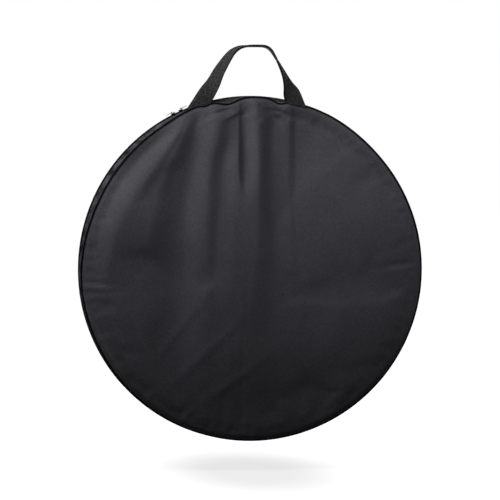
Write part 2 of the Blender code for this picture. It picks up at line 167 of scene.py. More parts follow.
# The painted shadow: the glow rises from its dim middle under the bag to white at its edge
rise = floor_tree.nodes.new("ShaderNodeMapRange")
rise.interpolation_type = "SMOOTHSTEP"
for end, near, far in (("From", painted_shadow_core, painted_shadow_edge), ("To", painted_shadow_glow, far_glow)):
    rise.inputs[f"{end} Min"].default_value = near
    rise.inputs[f"{end} Max"].default_value = far
lifted = floor_tree.nodes.new("ShaderNodeAddShader")
floor_choice = floor_tree.nodes.new("ShaderNodeMixShader")
for source, target in (
    (floor_place.outputs["Object"], from_foot.inputs["Vector"]),
    (from_foot.outputs["Vector"], away.inputs[0]),
    (away.outputs["Value"], rise.inputs["Value"]),
    (rise.outputs["Result"], glow.inputs["Strength"]),
    (white.outputs[0], lifted.inputs[0]),
    (glow.outputs[0], lifted.inputs[1]),
    (shown_ray(floor_tree), floor_choice.inputs["Fac"]),
    (grey.outputs[0], floor_choice.inputs[1]),
    (lifted.outputs[0], floor_choice.inputs[2]),
    (floor_choice.outputs[0], floor_tree.nodes["Material Output"].inputs["Surface"]),
):
    floor_tree.links.new(source, target)
floor_mesh.materials.append(floor_finish)


# Padded panels, front and rear. Each is a disc of charcoal coated polyester over a sheet of
# soft foam, sewn round its rim. The gathered handles pull soft upright folds into the top,
# and the rim is drawn in to the seam
outline_radius = 0.350
crown_depth = 0.034
slim_depth, full_depth, pinched_depth = 0.012, 0.036, 0.015
slim_seam_radius, full_seam_radius = 0.346, 0.340
zip_overrun = radians(15)
rise_start = radians(-10)
rise_share = 0.65
pinch_angle = radians(91.5)
pinch_plateau, pinch_fade = radians(24), radians(28)
left_plateau, left_fade = radians(15), radians(17)
top_seam_climb = 0.0052
# Where the folds pull the seam down between the handles: angle, half width and drop
seam_tucks = (
    (radians(106.4), radians(2.0), 0.0042),
    (radians(98.6), radians(4.2), 0.0105),
    (radians(80.6), radians(3.0), 0.0085),
)
pinched_seam_step = 0.003
front_shift = 0.003
pad_thickness = 0.0066
rim_dip, rim_roll = 0.0020, 0.0050
taut_dip_share = 0.4
seam_squeeze_share = 0.72
rim_fall, rim_fall_width = 0.0016, 0.021
taut_angle, taut_width, taut_reach = radians(134), radians(26), 0.06
rim_bulge, rim_bulge_inset, rim_bulge_width = 0.0003, 0.013, 0.009
cloth_gap = 0.0002
settle_reach, settle_cells, settle_frames = 0.355, 100, 20
settle_free_share, settle_sewn_share = 0.93, 0.985
settle_let_out, settle_pressure, settle_bending = 0.0075, 0.1, 1.0
settle_cap = 0.0018
settle_quality, settle_mass, settle_levels = 6, 0.12, 10


def smooth(t):
    """Rise from 0 to 1 with level ends."""
    t = np.clip(t, 0, 1)
    return t * t * (3 - 2 * t)


def bell(distance, width):
    """1 at no distance, falling away as a bell curve of the given half width."""
    return np.exp(-(distance / width) ** 2)


def zip_rise(theta):
    """0 along the plain wall, easing to 1 where the zipped wall is widest."""
    return smooth((np.sin(theta) - sin(rise_start)) / rise_share)


def pinch(theta):
    """1 where the gathered handles press the two panels together, 0 elsewhere."""
    right = 1 - smooth((pinch_angle - theta - pinch_plateau) / pinch_fade)
    left = 1 - smooth((theta - pinch_angle - left_plateau) / left_fade)
    return right * left


def seam_radius(theta):
    """Radius of the sewn rim: a little smaller where the wall is wide, raised at the handles."""
    plain = slim_seam_radius + (full_seam_radius - slim_seam_radius) * zip_rise(theta)
    tucks = sum(drop * bell(theta - angle, width) for angle, width, drop in seam_tucks)
    return plain + top_seam_climb * pinch(theta) - tucks


def seam_depth(theta):
    """Depth of the sewn rim: slim below, full above, pinched between the handles."""
    full = slim_depth + (full_depth - slim_depth) * zip_rise(theta)
    return full - (full_depth - pinched_depth - pinched_seam_step) * pinch(theta)


def taut(theta):
    """1 where the handle's pull draws the panel straight in from the seam, 0 elsewhere."""
    return bell(theta - taut_angle, taut_width)


# Crests and hollows of the folds as lines down the panel, from the left. At each of the
# levels a line has its place across and its height, all in millimetres
fold_levels = (325, 270, 210, 150, 80, -40, -170, -335)
fold_lines = (
    ((-173, -228, -287, -324, -351, -355, -298, -210), (1.0, 2.0, 2.0, 1.0, 0, 0, 0, 0)),
    ((-143, -190, -262, -314, -347, -354, -287, -200), (-1.5, -5.0, -7.5, -9.5, -10.5, -8.5, -2, -1)),
    ((-132, -154, -198, -240, -275, -300, -262, -190), (0.5, 5.2, 8.2, 10.4, 11.2, 10.2, 5.4, 0)),
    ((-127, -146, -180, -202, -217, -234, -225, -180), (0.2, 3.8, 6.4, 8.2, 9.0, 8.2, 4.8, 1)),
    ((-110, -118, -128, -138, -146, -148, -150, -148), (-2.0, -3.2, -5.2, -6.6, -6.4, -3.6, 0.4, -1)),
    ((-77, -76, -89, -95, -97, -95, -95, -95), (3.0, 7.0, 6.5, 6.2, 6.0, 5.6, 4.4, -4)),
    ((-38, -45, -61, -65, -75, -75, -75, -75), (-5.5, -3.4, -1.2, 0.4, 2.3, 4.8, 4.2, -5)),
    ((-30, -31, -33, -30, -34, -46, -54, -54), (-7.0, -4.0, 5.4, 6.4, 6.6, 5.2, 4.0, -6)),
    ((-21, -18, -19, -17, -20, -26, -34, -34), (-11.5, -13.0, -8.0, 6.4, 6.8, 4.8, 3.2, -7)),
    ((8, 9, 10, 6, 4, -8, -22, -22), (2.0, 2.6, 4.6, 7.6, 7.4, 4.0, 2.4, -8)),
    ((52, 42, 40, 45, 51, 55, 56, 56), (-10.5, -12.6, -12.8, -11.0, -9.4, -6.0, -3.6, -9)),
    ((76, 73, 71, 69, 72, 78, 85, 89), (-7.6, -9.0, -9.6, -10.2, -9.2, -6.4, -4.0, -9)),
    ((88, 89, 90, 89, 86, 100, 121, 134), (-13.0, -15.5, -15.6, -14.0, -11.2, -7.4, -4.4, -8)),
    ((117, 134, 146, 154, 162, 189, 209, 190), (-10.8, -12.6, -12.6, -11.4, -9.4, -5.6, -2.0, -5)),
    ((150, 205, 262, 300, 312, 312, 280, 215), (-8.0, -9.2, -8.0, -4.0, 0.0, 2.0, 1.4, -3)),
)
# Each short crease: place across and up, half length, half width, turn and height
short_creases = (
    (-0.322, -0.027, 0.028, 0.0040, radians(-5), -0.0036),
    (-0.327, -0.036, 0.026, 0.0042, radians(-1), 0.0026),
    (-0.318, -0.046, 0.024, 0.0040, radians(3), -0.0034),
    (0.312, 0.010, 0.024, 0.0044, radians(8), -0.0028),
    (0.318, 0.001, 0.020, 0.0042, radians(3), 0.0018),
    (-0.062, 0.318, 0.024, 0.0042, radians(17), -0.0034),
    (-0.046, 0.308, 0.019, 0.0038, radians(28), 0.0022),
    (0.056, 0.318, 0.020, 0.0040, radians(-24), -0.0032),
    (0.036, 0.326, 0.015, 0.0032, radians(-12), 0.0018),
    (-0.150, -0.120, 0.085, 0.0090, radians(52), 0.0011),
    (-0.105, -0.175, 0.095, 0.0100, radians(44), 0.0012),
    (-0.040, -0.225, 0.080, 0.0090, radians(36), 0.0010),
    (0.120, -0.150, 0.100, 0.0140, radians(120), 0.0006),
    (0.200, -0.060, 0.080, 0.0120, radians(108), 0.0005),
)
crease_corner = 6
rim_hold_share, top_hold_reach, low_hold_reach = 0.35, 0.032, 0.095
hold_middle = 0.5
rear_mirror, rear_softness = -0.93, 0.85
wave_lengths, wave_share, wave_seed = (0.31, 0.23, 0.17, 0.12, 0.085, 0.06), 0.0018, 5
pucker_counts, pucker_height, pucker_seed = (37, 53, 71, 97), 0.00016, 11
pucker_inset, pucker_reach = 0.010, 0.016
fold_rows = np.linspace(-0.36, 0.36, 241)


def eased(values, spread_rows):
    """Round off a line's corners with a bell-shaped running mean, keeping its ends."""
    reach = 3 * spread_rows
    weights = bell(np.arange(-reach, reach + 1), spread_rows)
    weights /= weights.sum()
    before = 2 * values[0] - values[reach:0:-1]
    after = 2 * values[-1] - values[-2:-reach - 2:-1]
    padded = np.concatenate((before, values, after))
    return np.stack([np.convolve(column, weights, mode="valid") for column in padded.T], axis=-1)


def fold_relief(x, z):
    """Relief that eases from each fold line to the next, in an S-curve across the panel."""
    levels = np.array(fold_levels)[::-1] / 1000
    columns = [
        np.interp(fold_rows, levels, np.array(values)[::-1] / 1000)
        for line in fold_lines for values in line
    ]
    columns = eased(np.stack(columns, axis=-1), crease_corner)
    lines = [np.interp(z, fold_rows, column) for column in columns.T]
    places, heights = lines[0::2], lines[1::2]
    relief = heights[0]
    for k in range(len(fold_lines) - 1):
        step = smooth((x - places[k]) / (places[k + 1] - places[k]))
        relief = relief + (heights[k + 1] - heights[k]) * step
    return relief


def crease_relief(x, z):
    """Sum of the short creases: each a bell across it and a wider bell along it."""
    relief = np.zeros_like(x)
    for across, up, half_length, half_width, turn, height in short_creases:
        along = (x - across) * cos(turn) + (z - up) * sin(turn)
        aside = (z - up) * cos(turn) - (x - across) * sin(turn)
        relief += height * bell(aside, half_width) * bell(along, half_length)
    return relief


def soft_waves(x, z, seed):
    """Low rolling unevenness of a soft pad: a few long sine waves that cross each other."""
    numbers = np.random.default_rng(seed)
    relief = np.zeros_like(x)
    for length in wave_lengths:
        turn, phase = numbers.uniform(0, pi), numbers.uniform(0, 2 * pi)
        along = x * cos(turn) + z * sin(turn)
        relief += wave_share * length * np.sin(2 * pi / length * along + phase)
    return relief


def seam_puckers(theta, inward, seed):
    """Short ripples that the sewing gathers in along the rim, dying out a little way in."""
    numbers = np.random.default_rng(seed)
    relief = np.zeros_like(theta + inward)
    for count in pucker_counts:
        phase = numbers.uniform(0, 2 * pi)
        relief = relief + pucker_height * np.sin(count * theta + phase)
    return relief * bell(inward - pucker_inset, pucker_reach)


def panel_surface(side, theta, share):
    """Place across, depth and place up of a panel's outer face, before its cloth settles.

    Depth is the crown in the middle easing to the seam's depth at the rim by the square of
    the share, plus folds and unevenness, which fade towards the rim and from further in along
    the bottom, less the fall to the seam.
    """
    rim = seam_radius(theta)
    radius, inward = rim * share, rim * (1 - share)
    x = radius * np.cos(theta)
    z = radius * np.sin(theta)
    height = smooth(hold_middle + np.sin(theta))
    reach = low_hold_reach + (top_hold_reach - low_hold_reach) * height
    hold = rim_hold_share + (1 - rim_hold_share) * smooth(inward / reach)
    if side < 0:
        folds = fold_relief(x, z) + crease_relief(x, z)
    else:
        folds = rear_softness * fold_relief(x / rear_mirror, z)
    depth = crown_depth * (1 - share ** 2) + seam_depth(theta) * share ** 2
    depth = depth + hold * (folds + soft_waves(x, z, wave_seed + side))
    depth = depth + seam_puckers(theta, inward, pucker_seed + side)
    depth = depth + rim_bulge * bell(inward - rim_bulge_inset, rim_bulge_width)
    loose = 1 - taut(theta)
    dip = rim_dip * (taut_dip_share + (1 - taut_dip_share) * loose)
    depth = depth - dip * bell(inward, rim_roll)
    depth = depth - rim_fall * loose * bell(inward, rim_fall_width)
    return x, depth, z


def rim_depth(side, theta):
    """Depth of a panel's sewn edge, which the piping and the wall follow."""
    return panel_surface(side, theta, 1.0)[1]


def settled_cloth(side):
    """Cloth simulation of the shell on its foam: how far it moves out, on a square grid.

    The sheet is let out a little, so that it finds its own small wrinkles, is pressed out by
    the foam and is held along the seam.
    """
    line = np.linspace(-settle_reach, settle_reach, settle_cells + 1)
    across, up = np.meshgrid(line, line, indexing="ij")
    theta = np.arctan2(up, across)
    share = np.minimum(np.hypot(across, up) / seam_radius(theta), 1.0)
    depth = panel_surface(side, theta, share)[1]
    points = np.stack((across, side * depth, up), axis=-1).reshape(-1, 3)
    j, k = np.meshgrid(np.arange(settle_cells), np.arange(settle_cells), indexing="ij")
    corner = j * (settle_cells + 1) + k
    above = corner + settle_cells + 1
    faces = np.stack((corner, corner + 1, above + 1, above), axis=-1).reshape(-1, 4)[:, ::side]
    mesh = bpy.data.meshes.new("settling")
    mesh.from_pydata(points.tolist(), [], faces.tolist())
    sheet = bpy.data.objects.new("settling", mesh)
    bpy.context.collection.objects.link(sheet)
    sewn = sheet.vertex_groups.new(name="sewn")
    hold = smooth((share.ravel() - settle_free_share) / (settle_sewn_share - settle_free_share))
    for level in np.arange(1, settle_levels + 1) / settle_levels:
        sewn.add(np.flatnonzero(hold >= level).tolist(), float(level), "REPLACE")
    cloth = sheet.modifiers.new("cloth", "CLOTH")
    cloth.point_cache.frame_end = settle_frames
    cloth.settings.vertex_group_mass = "sewn"
    cloth.settings.quality = settle_quality
    cloth.settings.mass = settle_mass
    cloth.settings.bending_stiffness = settle_bending
    cloth.settings.shrink_min = -settle_let_out
    cloth.settings.use_pressure = True
    cloth.settings.uniform_pressure_force = settle_pressure
    cloth.settings.effector_weights.gravity = 0.0
    for step in range(1, settle_frames + 1):
        bpy.context.scene.frame_set(step)
    moved = np.empty(len(points) * 3, np.float32)
    result = sheet.evaluated_get(bpy.context.evaluated_depsgraph_get())
    result.data.vertices.foreach_get("co", moved)
    bpy.data.objects.remove(sheet)
    bpy.context.scene.frame_set(1)
    outward = side * (moved.reshape(-1, 3) - points)[:, 1]
    outward = settle_cap * np.tanh(outward / settle_cap)
    return outward.reshape(across.shape)


def read_grid(grid, across, up):
    """Read a square grid over the disc between its points, by S-curves along both ways."""
    place = np.stack((across, up)) / (2 * settle_reach) + 0.5
    place = np.clip(place * settle_cells, 0, settle_cells - 1e-6)
    cell = place.astype(int)
    (u, v), (j, k) = place - cell, cell
    near = grid[j, k] * (1 - u) + grid[j + 1, k] * u
    far = grid[j, k + 1] * (1 - u) + grid[j + 1, k + 1] * u
    return near * (1 - v) + far * v


def panel_points(side, thetas, shares, sink, settled=None):
    """A layer of a panel as rows of angle by columns of radius share.

    A layer below the face lies deeper by its sink, which the sewing squeezes thin at the rim.
    """
    theta, share = thetas[:, None], np.asarray(shares)[None, :]
    x, depth, z = panel_surface(side, theta, share)
    inward = seam_radius(theta) * (1 - share)
    if settled is not None:
        depth = depth + read_grid(settled, x, z) * (1 - taut(theta) * bell(inward, taut_reach))
    depth = depth - sink * (1 - seam_squeeze_share * bell(inward, rim_roll))
    shift = front_shift if side < 0 else 0.0
    return np.stack(np.broadcast_arrays(x + shift, side * depth, z), axis=-1)


def add_piece(name, points, quads, finish, fans=None, uvs=None, sharp=radians(40)):
    """Make a closed mesh about the disc's centre, turned right side out, and move it there.

    quads and fans hold the corners of its four-sided and three-sided faces, and uvs the
    places of the quads' corners on the piece's own map. The sum of the corners' triple
    products is the enclosed volume, which is negative where the faces point inwards.
    """
    fans = np.empty((0, 3), int) if fans is None else fans
    corners = points[np.concatenate((quads[:, :3], quads[:, (0, 2, 3)], fans))]
    volume = np.einsum("ij,ij->i", corners[:, 0], np.cross(corners[:, 1], corners[:, 2])).sum()
    if volume < 0:
        quads, fans = quads[:, ::-1], fans[:, ::-1]
        uvs = None if uvs is None else uvs[:, ::-1]
    mesh = bpy.data.meshes.new(name)
    mesh.from_pydata((points + disc_centre).tolist(), [], quads.tolist() + fans.tolist())
    if uvs is not None:
        layer = mesh.uv_layers.new(name="along")
        layer.data.foreach_set("uv", uvs.astype(np.float32).ravel())
    mesh.materials.append(finish)
    mesh.shade_smooth()
    mesh.set_sharp_from_angle(angle=sharp)
    piece = bpy.data.objects.new(name, mesh)
    bpy.context.collection.objects.link(piece)
    return piece


def round_body(name, near, far, finish):
    """A disc-like solid: near face out from its middle to the rim, then the far face back in.

    near and far are rows of angle by columns of share, both with the rim last.
    """
    columns = np.concatenate((near, far[:, ::-1]), axis=1)
    rows, count = columns.shape[:2]
    k = np.arange(rows)[:, None]
    j = np.arange(count - 1)[None, :]
    after = (k + 1) % rows
    quads = np.stack(np.broadcast_arrays(
        k * count + j, k * count + j + 1, after * count + j + 1, after * count + j,
    ), axis=-1).reshape(-1, 4)
    ring = np.arange(rows)
    ring_after = (ring + 1) % rows
    middle, back = rows * count, rows * count + 1
    near_fan = np.stack((np.full(rows, middle), ring * count, ring_after * count), axis=-1)
    last = count - 1
    far_fan = np.stack((np.full(rows, back), ring_after * count + last, ring * count + last), axis=-1)
    points = np.concatenate((
        columns.reshape(-1, 3),
        columns[:, 0].mean(axis=0)[None],
        columns[:, -1].mean(axis=0)[None],
    ))
    return add_piece(name, points, quads, finish, np.concatenate((near_fan, far_fan)))


# Noise scales of the cloth finishes, in noise cells per metre, how much each pattern moves
# the tone, and the width of the painted highlight along a turned seam edge
grain_scale, patch_scale, broad_scale = 520.0, 48.0, 11.0
thread_gain, grain_gain, broad_gain, gloss_gain = 0.14, 1.1, 0.5, 0.16
grain_height_share = 1.5
painted_highlight_width = 0.0030


def noise(tree, place, scale, detail):
    """A noise pattern's value at a place."""
    node = tree.nodes.new("ShaderNodeTexNoise")
    node.inputs["Scale"].default_value = scale
    node.inputs["Detail"].default_value = detail
    tree.links.new(place, node.inputs["Vector"])
    return node.outputs["Fac"]


def new_finish(name, dark, light):
    """A material with its tree, its surface and the socket that mixes its dark and light tone."""
    finish = bpy.data.materials.new(name)
    finish.use_nodes = True
    tree = finish.node_tree
    surface = tree.nodes["Principled BSDF"]
    blend = tree.nodes.new("ShaderNodeMix")
    blend.data_type = "RGBA"
    blend.inputs["A"].default_value = (*dark, 1.0)
    blend.inputs["B"].default_value = (*light, 1.0)
    tree.links.new(blend.outputs["Result"], surface.inputs["Base Color"])
    return finish, tree, surface, blend.inputs["Factor"]


def woven_finish(
    name, dark, light, pitch, height, roughness,
    use_uv=False, twill=0.0, gloss_level=0.04, flecks=1.0, fleck_scale=210.0, patches=0.0, edge=0.0,
):
    """Woven cloth: warp and weft sines make the threads, and noise varies tone and gloss.

    twill slants the thread rows by that share of a pitch from one row to the next. flecks is
    the strength of the small specks that uneven yarn leaves, patches is the strength of
    lighter and darker places about 20 mm wide, and edge paints a highlight: it lightens the
    first few millimetres round the piece's own map, as if a turned seam edge caught the light.
    """
    finish, tree, surface, mixing = new_finish(name, dark, light)
    where = tree.nodes.new("ShaderNodeTexCoord").outputs["UV" if use_uv else "Object"]
    split = tree.nodes.new("ShaderNodeSeparateXYZ")
    tree.links.new(where, split.inputs[0])
    along = split.outputs["X"]
    across = split.outputs["Y" if use_uv else "Z"]
    slanted = node_value(tree, "ADD", along, node_value(tree, "MULTIPLY", across, twill))
    warp = node_value(tree, "SINE", node_value(tree, "MULTIPLY", slanted, 2 * pi / pitch))
    weft = node_value(tree, "SINE", node_value(tree, "MULTIPLY", across, 2 * pi / pitch))
    threads = node_value(tree, "MULTIPLY", warp, weft)
    grain = noise(tree, where, grain_scale, 2.0)
    fleck = noise(tree, where, fleck_scale, 2.0)
    broad = noise(tree, where, broad_scale, 3.0)
    tone = node_value(tree, "MULTIPLY_ADD", threads, thread_gain, 0.5)
    patterns = [(grain, grain_gain), (fleck, flecks), (broad, broad_gain)]
    if patches:
        patterns.append((noise(tree, where, patch_scale, 2.0), patches))
    for pattern, gain in patterns:
        lift = node_value(tree, "MULTIPLY_ADD", pattern, gain, -gain / 2)
        tone = node_value(tree, "ADD", tone, lift)
    # Painted highlight: the first few millimetres of the map are lightened, as if a turned seam edge
    # caught the light
    if edge:
        painted_edge_highlight = node_value(tree, "LESS_THAN", across, painted_highlight_width)
        tone = node_value(tree, "ADD", tone, node_value(tree, "MULTIPLY", painted_edge_highlight, edge))
    tree.links.new(tone, mixing)
    gloss = node_value(tree, "MULTIPLY_ADD", broad, gloss_gain, roughness - gloss_gain / 2)
    tree.links.new(gloss, surface.inputs["Roughness"])
    relief = node_value(tree, "ADD", node_value(tree, "MULTIPLY", threads, height),
                        node_value(tree, "MULTIPLY", grain, grain_height_share * height))
    bump = tree.nodes.new("ShaderNodeBump")
    bump.inputs["Distance"].default_value = 1.0
    tree.links.new(relief, bump.inputs["Height"])
    tree.links.new(bump.outputs[0], surface.inputs["Normal"])
    surface.inputs["Specular IOR Level"].default_value = gloss_level
    return finish


shell_cloth = woven_finish(
    "charcoal_oxford", (0.028, 0.027, 0.032), (0.055, 0.054, 0.062), 0.0007, 0.00003, 0.78, flecks=0.8
)

# Stations crowd round the top, where the folds are narrow
panel_stations = 540
top_crowding, crowding_width = 2.6, radians(62)
plain_angles = np.linspace(-pi / 2, 3 * pi / 2, 2881)
crowding = 1 + top_crowding * bell(plain_angles - pi / 2, crowding_width) ** 2
spread = np.concatenate(((0,), np.cumsum((crowding[1:] + crowding[:-1]) / 2)))
panel_angles = np.interp(
    np.arange(panel_stations) / panel_stations * spread[-1], spread, plain_angles
)
face_shares = np.concatenate((np.linspace(0.02, 0.955, 118), np.linspace(0.962, 1.0, 13)))
back_shares = np.concatenate((np.linspace(0.02, 0.94, 36), np.linspace(0.955, 1.0, 7)))


def follow_panel(piece, side):
    """The front piece stays where it is, its transform baked into its points; the rear is parented to
    the bag's body.
    """
    if side < 0:
        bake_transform(piece)
    else:
        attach(piece, "bag")


for name, side in (("front_pad", -1), ("rear_pad", 1)):
    settled = settled_cloth(side)
    pad = round_body(
        name,
        panel_points(side, panel_angles, face_shares, 0.0, settled),
        panel_points(side, panel_angles, back_shares, pad_thickness),
        shell_cloth,
    )
    if side < 0:
        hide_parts("front_flap_shell", "front_base_shell", "front_flap_foam", "front_base_foam")
    else:
        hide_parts("rear_shell", "rear_foam")
    follow_panel(pad, side)


# Linings. A disc of thin black cloth covers the inside of each pad and is caught in the same
# seam. It has the stations of the pad's inner face, so the two stay apart
lining_thickness = 0.0006
lining_edge_share = 0.986
lining_cloth = woven_finish(
    "black_lining_cloth", (0.012, 0.012, 0.013), (0.022, 0.022, 0.024), 0.0005, 0.00002, 0.62
)
lining_shares = back_shares[back_shares < lining_edge_share]
for name, side in (("front_lining_cloth", -1), ("rear_lining_cloth", 1)):
    sink = pad_thickness + cloth_gap
    lining = round_body(
        name,
        panel_points(side, panel_angles, lining_shares, sink),
        panel_points(side, panel_angles, lining_shares, sink + lining_thickness),
        lining_cloth,
    )
    if side < 0:
        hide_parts("front_flap_lining", "front_base_lining")
    else:
        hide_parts("rear_lining")
    follow_panel(lining, side)


# Hub guards. A stiff round patch of coated sheet is sewn to the middle of each lining, where
# the ends of the wheel's axle press
guard_radius = 0.040
guard_thickness = 0.0015
guard_edge = 0.0006
guard_angles = np.arange(96) * 2 * pi / 96
guard_sheet = woven_finish(
    "black_coated_sheet", (0.014, 0.014, 0.015), (0.022, 0.022, 0.023), 0.0011, 0.00002, 0.46
)
guard_flat_share = 0.985
guard_shares = np.array((0.12, 0.4, 0.7, 0.9, 0.96, guard_flat_share, 1.0))
guard_turn = np.clip((guard_shares - guard_flat_share) / (1 - guard_flat_share), 0, 1)
guard_rounding = guard_edge * (1 - np.sqrt(1 - guard_turn ** 2))


def guard_points(side, sink):
    """A round patch that lies on the lining's middle and follows its folds."""
    theta = guard_angles[:, None]
    share = guard_radius * guard_shares[None, :] / seam_radius(theta)
    x, depth, z = panel_surface(side, theta, share)
    depth = depth - pad_thickness - lining_thickness - 4 * cloth_gap - sink
    shift = front_shift if side < 0 else 0.0
    return np.stack((x + shift, side * depth, z), axis=-1)


for name, side in (("front_hub_patch", -1), ("rear_hub_patch", 1)):
    patch = round_body(
        name,
        guard_points(side, guard_rounding[None, :]),
        guard_points(side, guard_thickness - guard_rounding[None, :]),
        guard_sheet,
    )
    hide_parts("front_hub_guard" if side < 0 else "rear_hub_guard")
    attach(patch, "front_flap" if side < 0 else "bag")


# Piping. A black cloth-covered cord is caught in the seam all the way round each panel and
# covers the stitching between the panel and the wall
piping_radius = 0.0018
piping_offset = 0.0013
piping_sink = 0.0006
piping_sides = 10
piping_cloth = woven_finish(
    "black_piping_cloth", (0.003, 0.003, 0.003), (0.007, 0.007, 0.007), 0.0006, 0.00003, 0.70,
    use_uv=True, twill=1.0, gloss_level=0.0,
)


def swept(name, points, finish, close_rows=False, sharp=radians(50)):
    """Skin closed sections, rows along the piece by columns around it, and close open ends.

    The piece's own map gives the distance along and around it in metres.
    """
    rows, columns = points.shape[:2]
    spans = rows if close_rows else rows - 1
    k, j = np.meshgrid(np.arange(spans), np.arange(columns), indexing="ij")
    row_corners = np.stack((k, k, k + 1, k + 1), axis=-1).reshape(-1, 4)
    column_corners = np.stack((j, j + 1, j + 1, j), axis=-1).reshape(-1, 4)
    quads = (row_corners % rows) * columns + column_corners % columns
    centre = points.mean(axis=1)
    steps = np.linalg.norm(np.diff(np.vstack((centre, centre[:1])), axis=0), axis=1)
    along = np.concatenate(((0,), np.cumsum(steps)))
    widest = points[rows // 2]
    sides = np.linalg.norm(np.diff(np.vstack((widest, widest[:1])), axis=0), axis=1)
    around = np.concatenate(((0,), np.cumsum(sides)))
    uvs = np.stack((along[row_corners], around[column_corners]), axis=-1)
    if not close_rows:
        step = np.arange(columns // 2 - 1)
        for ring in (np.arange(columns), (rows - 1) * columns + np.arange(columns)[::-1]):
            end = np.stack((ring[step], ring[-1 - step], ring[-2 - step], ring[step + 1]), axis=-1)
            quads = np.concatenate((quads, end))
            uvs = np.concatenate((uvs, np.zeros((len(end), 4, 2))))
    return add_piece(name, points.reshape(-1, 3), quads, finish, uvs=uvs, sharp=sharp)


def about_disc(theta, radius, depth, side, shift=0.0):
    """Points from an angle, a radius and a depth from the mid plane."""
    return np.stack(np.broadcast_arrays(
        radius * np.cos(theta) + shift, side * depth, radius * np.sin(theta)
    ), axis=-1)


for name, side in (("front_seam_piping", -1), ("rear_seam_piping", 1)):
    theta = panel_angles[:, None]
    turn = np.arange(piping_sides)[None, :] * 2 * pi / piping_sides
    radius = seam_radius(theta) + piping_offset + piping_radius * np.cos(turn)
    depth = rim_depth(side, theta) - piping_sink + piping_radius * np.sin(turn)
    shift = front_shift if side < 0 else 0.0
    cord = swept(name, about_disc(theta, radius, depth, side, shift), piping_cloth, close_rows=True)
    if side < 0:
        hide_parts("front_flap_piping", "front_base_piping")
    else:
        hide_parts("rear_piping")
    follow_panel(cord, side)


# Zipped wall. Two narrow strips of the shell cloth run from the piping to the zip, one on
# each side; the edge along the seam is turned over, and the edge along the zip is folded
# under and topstitched
strip_radius = 0.3462
strip_edge_drop = 0.0014
strip_edge_depth = 0.0050
strip_thickness = 0.0008
wrinkle_slope = 0.030
seam_roll, seam_roll_width = 0.0017, 0.0022
hem_height, hem_width = 0.0005, 0.0034
strip_seam_back = 0.0017
slim_lift, full_lift = 0.0006, 0.0016
narrowest_strip = 0.0016
handle_angles = (radians(105.2), radians(75.2))
handle_gap_width = radians(4.2)
handle_gap_depth = 0.0034
roll_fade, hem_step = 0.006, 0.0008
strip_sag, sag_width = 0.0009, 0.025
wrinkle_counts, wrinkle_lean, wrinkle_seed = (31, 53, 83, 127, 190), 1.2, 21
gather_count, gather_height = 171, 0.0007
zip_angles = panel_angles[(panel_angles > -zip_overrun) & (panel_angles < pi + zip_overrun)]
zip_angles = np.concatenate(((-zip_overrun,), zip_angles, (pi + zip_overrun,)))
# This cloth is darker than the shell cloth: partly a black strip cloth, partly painted shade that
# takes off the key light falling on the strips. Its edge setting paints a highlight along the seam
# edge
strip_cloth_with_painted_light = woven_finish(
    "black_strip_painted_shade_and_highlight", (0.005, 0.005, 0.006), (0.044, 0.043, 0.049), 0.0011, 0.00006, 0.74,
    use_uv=True, gloss_level=0.02, patches=3.0, edge=0.7,
)


def behind_handles(theta):
    """How far the wall's edge passes behind the handle ends that are sewn into the seam."""
    gap = sum(bell(theta - angle, handle_gap_width) ** 4 for angle in handle_angles)
    return handle_gap_depth * gap


def hem_radius(theta):
    """Radius of the strip's edge along the zip, a little lower where the wall is wide."""
    return strip_radius - strip_edge_drop * zip_rise(theta)


def wall_ends(side, theta):
    """Radius and depth of the strip's edge at the seam and of its edge along the zip."""
    depth = rim_depth(side, theta) - strip_seam_back - behind_handles(theta)
    lift = slim_lift + (full_lift - slim_lift) * zip_rise(theta)
    seam = (seam_radius(theta) + lift, np.maximum(depth, strip_edge_depth + narrowest_strip))
    edge = (hem_radius(theta), strip_edge_depth + 0 * theta)
    return seam, edge


def wall_points(side, thetas, shares, lift):
    """Rows of angle by columns of share across the strip, lifted along its outward normal."""
    theta, share = thetas[:, None], np.asarray(shares)[None, :]
    (r0, d0), (r1, d1) = wall_ends(side, theta)
    run_r, run_d = r1 - r0, d1 - d0
    length = np.sqrt(run_r ** 2 + run_d ** 2)
    radius = r0 + share * run_r - lift * run_d / length
    depth = d0 + share * run_d + lift * run_r / length
    shift = front_shift * (1 - share) if side < 0 else 0.0
    return about_disc(theta, radius, depth, side, shift)


def wall_relief(side, thetas, shares):
    """Outward relief of the strip: rolled seam edge, hem along the zip, sag and wrinkles."""
    numbers = np.random.default_rng(wrinkle_seed + side)
    theta, share = thetas[:, None], np.asarray(shares)[None, :]
    (r0, d0), (r1, d1) = wall_ends(side, theta)
    length = np.sqrt((r1 - r0) ** 2 + (d1 - d0) ** 2)
    middle = np.sin(pi * share)
    roll = seam_roll * bell(share * length, seam_roll_width) * smooth(length / roll_fade)
    hem = hem_height * smooth((hem_width - (1 - share) * length) / hem_step)
    sag = -strip_sag * middle * smooth(length / sag_width)
    wrinkle = 0
    for count in wrinkle_counts:
        lean, phase = numbers.uniform(-wrinkle_lean, wrinkle_lean), numbers.uniform(0, 2 * pi)
        wave = np.sin(count * theta + lean * 2 * pi * share + phase)
        wrinkle = wrinkle + wrinkle_slope / count * wave * middle
    gathers = gather_height * np.sin(gather_count * theta + side) * pinch(theta) * middle
    return roll + hem + sag + wrinkle + gathers


